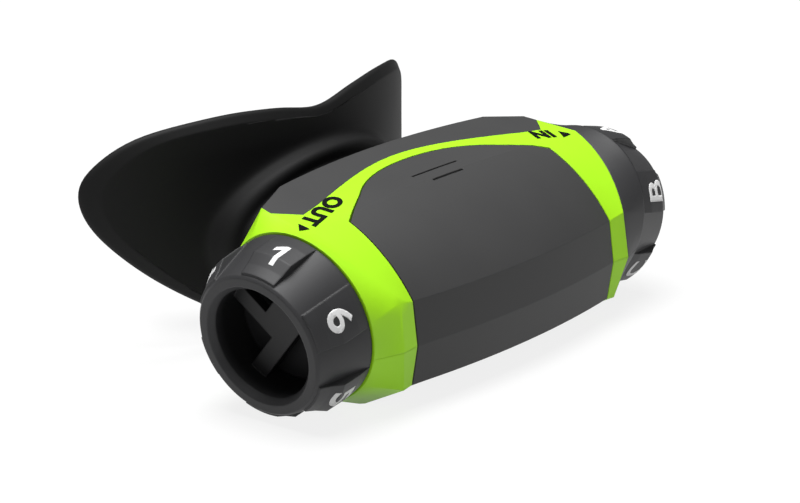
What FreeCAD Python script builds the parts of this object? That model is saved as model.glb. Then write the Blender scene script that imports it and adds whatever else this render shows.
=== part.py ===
import FreeCAD, Part
import Sketcher
import math
import os

# Breathing trainer: a drooping barrel with a resistance dial at each end, a detachable
# sensor module in front and a pull-off silicone mouthpiece behind. Millimetres.
# X runs along the barrel with the breathe-in dial at +X, the mouth is at +Y, Z is up.
# The origin is on the resting face, below the middle of the barrel.

V = FreeCAD.Vector
doc = FreeCAD.newDocument("breathing_trainer")

# Driving dimensions

SIZES = [
    ("axis_height", 19.5, "resting face to the dial axes at the collar mouths"),
    ("barrel_half", 46.8, "middle of the barrel to a collar mouth"),
    ("droop", 10.8, "downward cant of each dial axis, degrees"),
    ("panel_half", 34.2, "middle of the barrel to a collar's inner edge"),
    ("crease_back", 6.8, "collar mouth back to the collar's crease"),
    ("wall", 1.8, "wall of the collars, frame and rear housing"),
    ("module_wall", 1.5, "wall of the sensor module"),
    ("seam", 0.3, "gap round the sensor module and behind the spigot flange"),
    ("front_depth", 19.3, "dial axis plane forward to the front face at the collars"),
    ("front_bow", 2.5, "bow of the front face from the collars to the middle"),
    ("ridge_height", 3.7, "height of the ridge line above the dial axis"),
    ("ridge_setback", 1.2, "front face back to the ridge line"),
    ("parting_drop", 5.3, "drop of the parting line below the dial axis"),
    ("lower_drop", 13.8, "drop of the front face's lower edge"),
    ("lower_setback", 1.4, "front face back to its lower edge"),
    ("shoulder_rise", 1.8, "rise of the shoulder arc above its chord"),
    ("top_front_height", 17.9, "height where the shoulder arc meets the top"),
    ("top_bow", 1.1, "rise of the top from the collars to the middle"),
    ("top_rear_height", 21.0, "height of the rear top edge"),
    ("top_rear_depth", 15.8, "dial axis plane back to the rear top edge"),
    ("rear_bow", 2.9, "bow of the rear top edge"),
    ("rear_depth", 20.0, "dial axis plane back to the rear face"),
    ("rear_shoulder", 8.0, "height of the rear face's upper edge"),
    ("rear_low_drop", 12.0, "drop of the rear face's lower edge"),
    ("belly_half", 7.0, "half width of the flat resting face"),
    ("belly_trim", 0.3, "depth that the belly is cut back to lie flat"),
    ("corner_cut", 3.7, "rear top edge's step forward at a collar"),
    ("corner_drop", 1.3, "rear top edge's drop at a collar"),
    ("collar_swell", 0.5, "how far a collar's crease stands proud"),
    ("collar_radius", 18.4, "radius of a collar's mouth face"),
    ("collar_bore", 15.6, "radius of the hole that a dial sleeve turns in"),
    ("collar_lip", 1.3, "thickness of a collar's mouth face"),
    ("band_rear_mid", 13.0, "rear edge of the top band at the middle"),
    ("band_rear_end", 4.6, "rear edge of the top band at its ends"),
    ("band_end_half", 39.0, "middle of the barrel to the ends of that edge"),
    ("band_front_mid", 10.3, "front edge of the top band at the middle"),
    ("band_front_knee", 3.9, "front edge of the top band at its knee"),
    ("band_knee_half", 23.5, "middle of the barrel to the knee"),
    ("band_tip", -2.0, "module panel's upper corner"),
    ("dock_depth", 7.7, "dial axis plane forward to the dock plate's face"),
    ("dock_plate", 1.5, "thickness of the dock plate"),
    ("port_radius", 1.2, "bore of the pressure tap"),
    ("magnet_radius", 3.0, "radius of a catch magnet"),
    ("magnet_depth", 1.2, "thickness of a catch magnet"),
    ("magnet_half", 26.0, "middle of the barrel to a catch magnet"),
    ("board_gap", 2.0, "module's back cover to the circuit board"),
    ("board_thickness", 1.0, "thickness of the circuit board"),
    ("battery_thickness", 4.0, "thickness of the battery cell"),
    ("motor_radius", 4.0, "radius of the vibration motor"),
    ("motor_thickness", 2.6, "thickness of the vibration motor"),
    ("sensor_half", 3.0, "half width of the pressure sensor"),
    ("sensor_height", 1.2, "height of the pressure sensor off the board"),
    ("post_radius", 1.5, "radius of a post between back cover and board"),
    ("contact_radius", 0.8, "radius of a charging contact"),
    ("contact_pitch", 3.0, "distance between charging contacts"),
    ("contact_drop", 6.0, "drop of the charging contacts below the dial axis"),
    ("groove_width", 0.5, "width of the two lines in the front cover"),
    ("groove_depth", 0.4, "depth of the two lines in the front cover"),
    ("dial_length", 13.4, "collar mouth to the dial's rim"),
    ("dial_base_radius", 18.0, "dial cone at the collar"),
    ("dial_rim_radius", 15.1, "dial cone at the rim"),
    ("dial_gap", 0.3, "running gap from collar face to dial"),
    ("lobe_count", 6, "raised grip lobes, one for each setting"),
    ("lobe_angle", 30.0, "angle that a lobe spans, degrees"),
    ("lobe_height", 1.5, "height of a lobe above the cone"),
    ("lobe_rim", 0.5, "height of a lobe above the cone at the rim"),
    ("lobe_lead", 8.0, "angle of the first lobe past the top, towards the front, degrees"),
    ("rim_chamfer", 1.4, "depth of the dial mouth's chamfer"),
    ("notch_depth", 0.5, "depth of a detent notch in the sleeve's end"),
    ("notch_half", 0.9, "half width of a detent notch"),
    ("ring_setback", 1.7, "collar mouth back to the retaining ring"),
    ("ring_thickness", 0.7, "thickness of the retaining ring"),
    ("ring_bite", 0.6, "depth of the ring's groove in the sleeve"),
    ("ring_reach", 0.5, "how far the ring stands past the sleeve"),
    ("ring_split", 25.0, "angle of the gap in the retaining ring, degrees"),
    ("spring_gap", 1.2, "sleeve's end back to the detent spring's leaf"),
    ("leaf", 0.4, "thickness of the detent spring's leaf"),
    ("leaf_angle", 50.0, "angle that the detent spring spans, degrees"),
    ("mouth_radius", 12.8, "outer edge of the dial mouth's chamfer"),
    ("bore_radius", 11.75, "dial bore behind the chamfer"),
    ("web_height", 3.4, "collar mouth to the floor of the dial bore"),
    ("tube_bore", 12.4, "bore of the bearing tube"),
    ("tube_radius", 13.8, "outside of the bearing tube"),
    ("tube_reach", 3.0, "bearing tube beyond the collar mouth"),
    ("running", 0.05, "radial running clearance of a dial"),
    ("seal_height", 2.0, "collar mouth to the middle of the dial seal"),
    ("seal_cord", 0.45, "half width of the dial seal"),
    ("sleeve_reach", 2.9, "dial sleeve inside the collar mouth"),
    ("chamber_depth", 9.6, "collar mouth to the back of a valve chamber"),
    ("duct_radius", 8.6, "outside of the air duct between the chambers"),
    ("duct_wall", 1.4, "wall of the air duct"),
    ("duct_back", 3.5, "dial axis plane back to the duct's axis"),
    ("duct_rise", 2.0, "dial axis up to the duct's axis"),
    ("shutter_gap", 0.1, "running gap between the shutter disc and the port plate"),
    ("shutter_thickness", 2.2, "thickness of the shutter disc"),
    ("window_radius", 3.5, "radius of the shutter disc's window"),
    ("port_circle", 7.8, "dial axis to the middle of a port"),
    ("port_radius_max", 3.2, "radius of the widest port"),
    ("port_step", 0.35, "how much narrower each next port is"),
    ("bridge_height", 7.5, "collar mouth to the outer face of the bridge in the dial bore"),
    ("bridge_thickness", 2.0, "thickness of the bridge"),
    ("bridge_reach", 12.6, "dial axis to the bridge's ends, in the dial's wall"),
    ("bridge_near", 3.6, "dial axis to the bar's straight edge"),
    ("bridge_wide", 4.4, "dial axis to the bar's other edge on its wide half"),
    ("bridge_narrow", 0.4, "dial axis to the bar's other edge on its narrow half"),
    ("bridge_arm", 1.9, "half width of the bridge's arm"),
    ("bridge_turn", -33.0, "angle from the first lobe to the bar, degrees"),
    ("port_plate", 1.8, "thickness of the port plate"),
    ("seat_depth", 5.2, "collar mouth back to the valve seat's inner face"),
    ("seat_thickness", 1.2, "thickness of the valve seat"),
    ("seat_hub", 3.0, "radius of the valve seat's hub"),
    ("seat_opening", 70.0, "angle of each opening in the valve seat, degrees"),
    ("seat_rim", 0.8, "how far the flap laps over the seat's rim"),
    ("pin_radius", 1.1, "radius of the valve pin"),
    ("pin_head", 0.6, "thickness of the valve pin's head"),
    ("pin_slack", 0.3, "pin's length beyond the flap's travel"),
    ("flap_gap", 0.02, "gap between a resting flap and its seat"),
    ("valve_travel", 1.2, "lift of a valve flap off its seat"),
    ("flap_radius", 10.3, "radius of a valve flap"),
    ("flap_thickness", 0.6, "thickness of a valve flap"),
    ("spigot_width", 22.3, "half width of the mouthpiece spigot"),
    ("spigot_depth", 8.8, "half height of the mouthpiece spigot"),
    ("spigot_wall", 1.8, "wall of the spigot"),
    ("spigot_reach", 29.5, "dial axis plane back to the spigot's end"),
    ("mouth_rise", 3.3, "dial axis up to the middle of the mouth"),
    ("neck_start", 21.7, "dial axis plane back to the neck's end"),
    ("neck_width", 25.5, "half width of the neck at the spigot"),
    ("neck_depth", 12.0, "half height of the neck at the spigot"),
    ("flare_width", 30.0, "half width of the neck where it meets the shield"),
    ("flare_depth", 16.0, "half height of the neck where it meets the shield"),
    ("shield_front", 32.4, "dial axis plane back to the shield's front"),
    ("shield_radius", 77.0, "plan radius of the shield"),
    ("shield_thickness", 2.6, "thickness of the shield"),
    ("shield_half", 52.3, "middle to the tip of the shield"),
    ("shield_top", 30.2, "height of the shield above the dial axis"),
    ("shield_dip", 2.4, "depth of the nose dip"),
    ("shield_bottom", 17.6, "drop of the shield below the dial axis"),
    ("bite_width", 17.0, "half width of the mouth passage"),
    ("bite_depth", 6.3, "half height of the mouth passage"),
    ("bite_end", 50.0, "dial axis plane back to the mouth tube's end"),
    ("guard_width", 27.0, "half width of the lip guard"),
    ("guard_depth", 12.8, "half height of the lip guard"),
    ("guard_thickness", 2.0, "thickness of the lip guard and the mouth tube"),
    ("tab_width", 10.0, "width of a bite tab"),
    ("tab_reach", 11.0, "bite tab beyond the lip guard"),
    ("tab_half", 1.6, "half thickness of a bite tab"),
]

sheet = doc.addObject("Spreadsheet::Sheet", "Sizes")
for row, (alias, value, note) in enumerate(SIZES, 1):
    sheet.set("A%d" % row, note)
    sheet.set("B%d" % row, str(value))
    sheet.setAlias("B%d" % row, alias)
doc.recompute()


def size(alias):
    return float(sheet.get(alias))


LIFT = V(0, 0, size("axis_height"))
DROOP = math.radians(size("droop"))
SIDES = {"out": -1, "in": 1}
nodes = []


def keep(node, name):
    """Names an object and lists it as a piece to export."""
    node.Label = name
    nodes.append(node)
    return node


def shaped(name, shape):
    """A piece whose shape is worked out here, in the barrel's own frame."""
    node = doc.addObject("Part::Feature", name)
    node.Shape = shape.removeSplitter()
    node.Placement = FreeCAD.Placement(LIFT, FreeCAD.Rotation())
    return keep(node, name)


# The canted frame at each collar mouth

def outward(side):
    return V(side * math.cos(DROOP), 0, -math.sin(DROOP))


def upward(side):
    return V(side * math.sin(DROOP), 0, math.cos(DROOP))


def on_axis(side, height):
    return V(side * size("barrel_half"), 0, 0) + outward(side) * height


def collar_placement(side):
    turn = FreeCAD.Rotation(V(0, 1, 0), side * (90 + size("droop")))
    return FreeCAD.Placement(on_axis(side, 0) + LIFT, turn)


def drum(side, radius, low, high):
    return Part.makeCylinder(radius, high - low, on_axis(side, low), outward(side))


# The barrel's outer form

def section(bow, inset):
    """Corners (y, z) of the cross-section, from the lower front edge upwards and round."""
    front = size("front_depth") + size("front_bow") * bow - inset
    top = size("top_bow") * bow - inset
    return [
        (-(front - size("lower_setback")), -size("lower_drop") + 0.6 * inset),
        (-front, -size("parting_drop")),
        (-(front - size("ridge_setback")), size("ridge_height") - 0.4 * inset),
        (0, size("top_front_height") + top),
        (size("top_rear_depth") + size("rear_bow") * bow - inset,
         size("top_rear_height") + 0.3 * size("top_bow") * bow - inset),
        (size("rear_depth") + 0.3 * size("rear_bow") * bow - inset, size("rear_shoulder")),
        (size("rear_depth") - size("lower_setback") - inset,
         -size("rear_low_drop") + 0.4 * inset),
        (size("belly_half"), inset - size("axis_height") - size("belly_trim")),
        (-size("belly_half"), inset - size("axis_height") - size("belly_trim")),
    ]


def outline(points, place):
    """The closed wire through the corners, with the shoulder as an arc."""
    edges = []
    for i, (start, end) in enumerate(zip(points, points[1:] + points[:1])):
        if i == 2:
            chord = V(end[0] - start[0], end[1] - start[1], 0)
            rise = size("shoulder_rise") / chord.Length
            mid = (start[0] + chord.x / 2 - chord.y * rise, start[1] + chord.y / 2 + chord.x * rise)
            edges.append(Part.Arc(place(*start), place(*mid), place(*end)).toShape())
        else:
            edges.append(Part.LineSegment(place(*start), place(*end)).toShape())
    return Part.Wire(edges)


def barrel_wire(share, inset):
    """The section at a share of the way from the middle to a collar, -1 to 1."""
    across = share * size("panel_half")
    return outline(section(1 - share ** 2, inset), lambda y, z: V(across, y, z))


def crease_points(inset):
    """The section at a collar's crease, in the canted plane's own (y, up)."""
    swell = size("collar_swell")
    base = size("crease_back") * math.sin(DROOP)
    points = section(0, inset)
    points[0] = (points[0][0], points[0][1] - swell)
    points[1] = (points[1][0] - swell, points[1][1])
    points[2] = (points[2][0] - swell, points[2][1] + swell)
    points[3] = (points[3][0], points[3][1] + swell)
    points[4] = (points[4][0] - size("corner_cut"), points[4][1] - size("corner_drop"))
    points[5] = (points[5][0] + swell, points[5][1] + swell)
    return [(y, (z - base) / math.cos(DROOP)) for y, z in points]


def crease_wire(side, inset):
    origin = on_axis(side, -size("crease_back"))
    return outline(crease_points(inset), lambda y, up: origin + V(0, y, 0) + upward(side) * up)


def mouth_wire(side, radius, height):
    """A circle about the dial axis, split where the crease has its corners."""
    origin = on_axis(side, height)
    angles = [math.atan2(up, y) for y, up in crease_points(0)]

    def at(angle):
        return origin + V(0, radius * math.cos(angle), 0) + upward(side) * (radius * math.sin(angle))

    edges = []
    for start, end in zip(angles, angles[1:] + angles[:1]):
        while end > start:
            end -= 2 * math.pi
        edges.append(Part.Arc(at(start), at((start + end) / 2), at(end)).toShape())
    return Part.Wire(edges)


def barrel(inset):
    shares = (-1, -0.5, 0, 0.5, 1)
    return Part.makeLoft([barrel_wire(share, inset) for share in shares], True, False)


def shank(side, inset):
    """A collar's stretch from the barrel to the crease."""
    return Part.makeLoft([barrel_wire(side, inset), crease_wire(side, inset)], True, True)


def nose(side, inset, height):
    """A collar's stretch from the crease to its mouth."""
    rim = mouth_wire(side, size("collar_radius") - inset, height)
    return Part.makeLoft([crease_wire(side, inset), rim], True, True)


def block(x0, x1, y0, y1, z0, z1):
    return Part.makeBox(x1 - x0, y1 - y0, z1 - z0, V(x0, y0, z0))


def rod(radius, x, z, y0, y1):
    return Part.makeCylinder(radius, y1 - y0, V(x, y0, z), V(0, 1, 0))


BIG = 4 * size("barrel_half")
KNEE_ALONG, KNEE_RISE = 0.63, 0.47


def prism(corners, bend, low, high):
    """A plan outline, straight but for a curve through the bend points, made upright."""
    curve = Part.BSplineCurve()
    curve.interpolate([V(x, y, low) for x, y in bend])
    ends = [bend[-1]] + corners + [bend[0]]
    edges = [curve.toShape()]
    for start, end in zip(ends, ends[1:]):
        edges.append(Part.LineSegment(V(*start, low), V(*end, low)).toShape())
    return Part.Face(Part.Wire(edges)).extrude(V(0, 0, high - low))


def rear_region():
    """Plan region behind the green top band."""
    half = size("band_end_half")
    end = size("band_rear_end")
    mid = size("band_rear_mid")
    knee = end + KNEE_RISE * (mid - end)
    along = KNEE_ALONG * half
    bend = [(-half, end), (-along, knee), (0, mid), (along, knee), (half, end)]
    reach = size("barrel_half")
    corners = [(half + reach, end + reach), (-half - reach, end + reach)]
    return prism(corners, bend, -BIG, BIG)


def front_region(inset):
    """Plan region of the sensor module's panel."""
    half = size("panel_half") - inset
    knee = size("band_knee_half")
    mid = size("band_front_mid")
    side = size("band_front_knee")
    bend = [(-knee, side), (-knee / 2, mid - 0.2 * (mid - side)), (0, mid),
            (knee / 2, mid - 0.2 * (mid - side)), (knee, side)]
    bend = [(x, y - inset) for x, y in bend]
    tip = size("band_tip") - inset
    corners = [(half, tip), (half, -BIG), (-half, -BIG), (-half, tip)]
    upper = prism(corners, bend, 0, BIG)
    lower = block(-half, half, -BIG, -size("dock_depth") - inset, -BIG, 0)
    return upper.fuse(lower)


# Barrel segments, solid and hollow

WALL = size("wall")
parting = -size("parting_drop")
below_rest = block(-BIG, BIG, -BIG, BIG, -BIG, -size("axis_height"))
outer = {"middle": barrel(0).cut(below_rest)}
hollow = {"middle": barrel(WALL)}
for name, side in SIDES.items():
    outer[name, "shank"] = shank(side, 0).cut(below_rest)
    outer[name, "nose"] = nose(side, 0, 0).cut(below_rest)
    hollow[name, "shank"] = shank(side, WALL)
    hollow[name, "nose"] = nose(side, WALL, -size("collar_lip"))

rear = rear_region()
front_hole = front_region(0)
above_parting = block(-BIG, BIG, -BIG, BIG, parting, BIG)
below_parting = block(-BIG, BIG, -BIG, BIG, -BIG, parting)
cavity = {}
behind_dock = block(-BIG, BIG, size("dock_plate") - size("dock_depth"), BIG, -BIG, BIG)


def collar(name):
    """One end's green shell, with the cheek wall that faces the sensor module."""
    side = SIDES[name]
    cheek = side * (size("panel_half") + size("dock_plate"))
    inside = hollow[name, "shank"]
    beyond = block(min(cheek, side * BIG), max(cheek, side * BIG), -BIG, BIG, -BIG, BIG)
    inside = inside.common(beyond).fuse(inside.common(behind_dock))
    cavity[name] = inside
    shell = outer[name, "shank"].cut(inside).cut(rear)
    mouth = outer[name, "nose"].cut(hollow[name, "nose"])
    mouth = mouth.cut(drum(side, size("collar_bore"), -2 * size("collar_lip"), size("collar_lip")))
    return shell.fuse(mouth)


# The band that joins the collars over the top

middle_shell = outer["middle"].cut(hollow["middle"])
above_axis = block(-BIG, BIG, -size("front_depth") / 2, BIG, 0, BIG)
band = middle_shell.common(above_axis).cut(front_hole).cut(rear)
collars = {name: collar(name) for name in SIDES}
upper = band
for name in SIDES:
    upper = upper.fuse(collars[name].common(above_parting))
    shaped(name + "_collar_lower", collars[name].common(below_parting))
shaped("frame_upper", upper)


# The rear housing with the seat for the mouthpiece spigot

def oval(width, depth, low, high, end_width=None, end_depth=None):
    """A solid with an oval section about the mouth's axis, between two depths."""
    wires = []
    for y, w, d in ((low, width, depth), (high, end_width or width, end_depth or depth)):
        centre = V(0, y, size("mouth_rise"))
        ring = Part.Ellipse(centre + V(w, 0, 0), centre + V(0, 0, d), centre).toShape()
        wires.append(Part.Wire(ring))
    return Part.makeLoft(wires, True, True)


flange_back = size("neck_start") - size("seam")
flange_front = flange_back - size("spigot_wall")
duct_end = flange_front - size("spigot_wall") / 2
flange = oval(size("neck_width"), size("neck_depth"), flange_front, BIG)
back_shell = middle_shell.cut(front_hole).cut(band)
for name in SIDES:
    shank_shell = outer[name, "shank"].cut(hollow[name, "shank"])
    back_shell = back_shell.fuse(shank_shell.common(rear))
seat = oval(size("neck_width") + WALL, size("neck_depth") + WALL, duct_end, flange_back)
seat = seat.common(hollow["middle"])
back_shell = back_shell.fuse(seat).cut(flange)
back_shell = back_shell.cut(oval(size("spigot_width"), size("spigot_depth"), 0, BIG))
shaped("rear_housing", back_shell)

# The mouthpiece spigot

spigot = oval(size("neck_width"), size("neck_depth"), flange_front, flange_back)
spigot = spigot.fuse(oval(size("spigot_width"), size("spigot_depth"), duct_end, size("spigot_reach")))
passage = (size("spigot_width") - size("spigot_wall"), size("spigot_depth") - size("spigot_wall"))
spigot = spigot.cut(oval(*passage, 0, BIG))
shaped("mouthpiece_spigot", spigot)

# The dock plate that the sensor module seats against, with the shelf under its tongue

dock_face = -size("dock_depth")
plate = block(-BIG, BIG, dock_face, dock_face + size("dock_plate"), -BIG, BIG)
shelf = hollow["middle"].cut(barrel(WALL + size("dock_plate")))
shelf = shelf.common(block(-BIG, BIG, dock_face, size("band_rear_mid"), 0, BIG))
dock = plate.common(hollow["middle"]).fuse(shelf)
port_x = size("band_knee_half") / 2
port_z = size("duct_rise")
port_radius = size("port_radius")
dock = dock.cut(rod(port_radius, port_x, port_z, -BIG, BIG))
for name, side in SIDES.items():
    magnet = rod(size("magnet_radius"), side * size("magnet_half"), port_z, dock_face,
                 dock_face + size("magnet_depth"))
    shaped(name + "_dock_magnet", magnet)
    dock = dock.cut(magnet)
shaped("dock_plate", dock)

# The air manifold: a valve chamber at each end, the duct between them and its rear branch

duct_axis = V(0, size("duct_back"), size("duct_rise"))
thin = size("duct_wall")


def duct(radius, half):
    return Part.makeCylinder(radius, 2 * half, duct_axis - V(half, 0, 0), V(1, 0, 0))


chamber_floor = size("barrel_half") - size("chamber_depth")
branch = oval(passage[0] + thin, passage[1] + thin, size("duct_back"), duct_end)
manifold = duct(size("duct_radius"), chamber_floor + thin / 2).fuse(branch)
void = duct(size("duct_radius") - thin, chamber_floor + 2 * thin).fuse(
    oval(*passage, size("duct_back"), BIG))
for side in SIDES.values():
    manifold = manifold.fuse(drum(side, size("tube_radius"), -size("chamber_depth"),
                                  -size("crease_back")))
    void = void.fuse(drum(side, size("tube_bore"), thin - size("chamber_depth"), 0))
room = hollow["middle"]
for name in SIDES:
    room = room.fuse(cavity[name]).fuse(hollow[name, "nose"])
manifold = manifold.common(room).cut(void)
tap = rod(2 * port_radius, port_x, port_z, dock_face + size("dock_plate"), size("duct_back"))
manifold = manifold.fuse(tap.cut(void))
manifold = manifold.cut(rod(port_radius, port_x, port_z, dock_face, size("duct_back")))
shaped("air_manifold", manifold)

# Bearing plates: each fills its collar at the crease and carries the tube the dial turns on

seal_floor = size("tube_radius") - 2 * size("seal_cord")
for name, side in SIDES.items():
    back = -size("crease_back")
    bearing = Part.Face(crease_wire(side, WALL)).extrude(outward(side) * size("collar_lip"))
    bearing = bearing.common(hollow[name, "nose"])
    bearing = bearing.fuse(drum(side, size("tube_radius"), back, size("tube_reach")))
    bearing = bearing.cut(drum(side, size("tube_bore"), back, size("tube_reach")))
    low = size("seal_height") - size("seal_cord")
    high = size("seal_height") + size("seal_cord")
    groove = drum(side, BIG, low, high).cut(drum(side, seal_floor, low, high))
    shaped(name + "_bearing_plate", bearing.cut(groove))


# The sensor module: a front cover with a tongue over the top, closed by a back cover

module_back = dock_face - size("seam")
module_half = size("panel_half") - size("seam")
skin = size("module_wall")
module_hollow = barrel(skin)
inner_half = module_half - skin
between = block(-inner_half, inner_half, -BIG, BIG, -BIG, BIG)
under_tongue = block(-BIG, BIG, module_back, BIG, -BIG, BIG)
cover = outer["middle"].common(front_region(size("seam")))
cover = cover.cut(module_hollow.common(between)).cut(module_hollow.common(under_tongue))
carved = outer["middle"].cut(barrel(size("groove_depth")))
TOP_LINES = ((7.6, 2.8), (5.1, -0.7))
for half, y in TOP_LINES:
    line = block(-half, half, y - size("groove_width") / 2, y + size("groove_width") / 2, 0, BIG)
    cover = cover.cut(carved.common(line))
shaped("front_cover", cover)

cover_front = module_back - skin
board_back = cover_front - size("board_gap")
board_front = board_back - size("board_thickness")
sensor_back = board_back + size("sensor_height")
back_cover = block(-inner_half, inner_half, cover_front, module_back, -BIG, BIG)
back_cover = back_cover.common(module_hollow)
POSTS = ((-24, -8.5), (-24, 4), (28, -8.5), (28, 4))
for x, z in POSTS:
    back_cover = back_cover.fuse(rod(size("post_radius"), x, z, board_back, cover_front))
for name, side in SIDES.items():
    magnet = rod(size("magnet_radius"), side * size("magnet_half"), port_z,
                 module_back - size("magnet_depth"), module_back)
    shaped(name + "_module_magnet", magnet)
    back_cover = back_cover.cut(magnet)
pins = [rod(size("contact_radius"), -size("contact_pitch") * k, -size("contact_drop"), board_back,
            module_back) for k in (2, 3, 4, 5)]
contacts = pins[0].multiFuse(pins[1:])
shaped("charge_contacts", contacts)
seal = rod(2 * port_radius, port_x, port_z, sensor_back, module_back)
shaped("module_back_cover", back_cover.cut(contacts).cut(seal))
shaped("sensor_port_seal", seal.cut(rod(port_radius, port_x, port_z, -BIG, BIG)))
reach = size("sensor_half")
sensor = block(port_x - reach, port_x + reach, board_back, sensor_back, port_z - reach,
               port_z + reach)
shaped("pressure_sensor", sensor)

BOARD_LOW, BOARD_HIGH, BOARD_MARGIN = -10.5, 7.0, 2.0
BATTERY_FROM, BATTERY_TO, BATTERY_LOW, BATTERY_HIGH = -24.0, 6.0, -8.0, 3.0
MOTOR_X, MOTOR_Z = 18.0, -4.0
board_half = inner_half - BOARD_MARGIN
board = block(-board_half, board_half, board_front, board_back, BOARD_LOW, BOARD_HIGH)
shaped("circuit_board", board)
battery = block(BATTERY_FROM, BATTERY_TO, board_front - size("battery_thickness"), board_front,
                BATTERY_LOW, BATTERY_HIGH)
shaped("battery_cell", battery)
motor = rod(size("motor_radius"), MOTOR_X, MOTOR_Z, board_front - size("motor_thickness"),
            board_front)
shaped("vibration_motor", motor)


# Round pieces about a dial axis are built upright, with heights from the collar's mouth

def cylinder(radius, low, high, angle="360", turn=0):
    """A cylinder or sector whose sizes are expressions over the sheet."""
    item = doc.addObject("Part::Cylinder", "Round")
    item.Placement = FreeCAD.Placement(V(), FreeCAD.Rotation(V(0, 0, 1), turn))
    item.setExpression("Radius", radius)
    item.setExpression("Height", "(%s) - (%s)" % (high, low))
    item.setExpression("Placement.Base.z", low)
    item.setExpression("Angle", angle)
    return item


def cut(base, tool):
    item = doc.addObject("Part::Cut", "Cut")
    item.Base = base
    item.Tool = tool
    return item


def fuse(*shapes):
    item = doc.addObject("Part::MultiFuse", "Fusion")
    item.Shapes = list(shapes)
    return item


def ring(outer_radius, inner_radius, low, high, angle="360", turn=0):
    return cut(cylinder(outer_radius, low, high, angle, turn), cylinder(inner_radius, low, high))


def spokes(low, high, count):
    """The openings between the spokes of a valve seat."""
    return fuse(*[ring("Sizes.flap_radius - Sizes.seat_rim", "Sizes.seat_hub", low, high,
                       "Sizes.seat_opening", k * 360 / count) for k in range(count)])


def placed(node, name, side, turn=0):
    spin = FreeCAD.Placement(V(), FreeCAD.Rotation(V(0, 0, 1), turn))
    node.Placement = collar_placement(side).multiply(spin)
    return keep(node, name)


def origin_plane(body, role):
    return next(item for item in body.Origin.OriginFeatures if item.Role == role)


def profile(body, name, plane, corners):
    """A closed outline in a body's sketch, each corner set by two expressions."""
    sketch = body.newObject("Sketcher::SketchObject", name)
    sketch.AttachmentSupport = (origin_plane(body, plane), [""])
    sketch.MapMode = "FlatFace"
    count = len(corners)
    start = [V(20 * math.cos(2 * math.pi * k / count), 20 * math.sin(2 * math.pi * k / count), 0)
             for k in range(count)]
    for k in range(count):
        sketch.addGeometry(Part.LineSegment(start[k], start[(k + 1) % count]), False)
    for k in range(count):
        sketch.addConstraint(Sketcher.Constraint("Coincident", k, 2, (k + 1) % count, 1))
    for k, (across, along) in enumerate(corners):
        for kind, expression, first in (("DistanceX", across, start[k].x),
                                        ("DistanceY", along, start[k].y)):
            index = sketch.addConstraint(Sketcher.Constraint(kind, -1, 1, k, 1, first))
            sketch.setExpression("Constraints[%d]" % index, expression)
    doc.recompute()
    return sketch


def revolve(body, name, sketch, kind="PartDesign::Revolution", angle=None):
    """Turns a profile about the dial axis, all round or over an angle about the profile."""
    feature = body.newObject(kind, name)
    feature.Profile = sketch
    feature.ReferenceAxis = (sketch, ["V_Axis"])
    feature.Midplane = angle is not None
    if angle:
        feature.setExpression("Angle", angle)
    else:
        feature.Angle = 360
    doc.recompute()
    return feature


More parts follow.
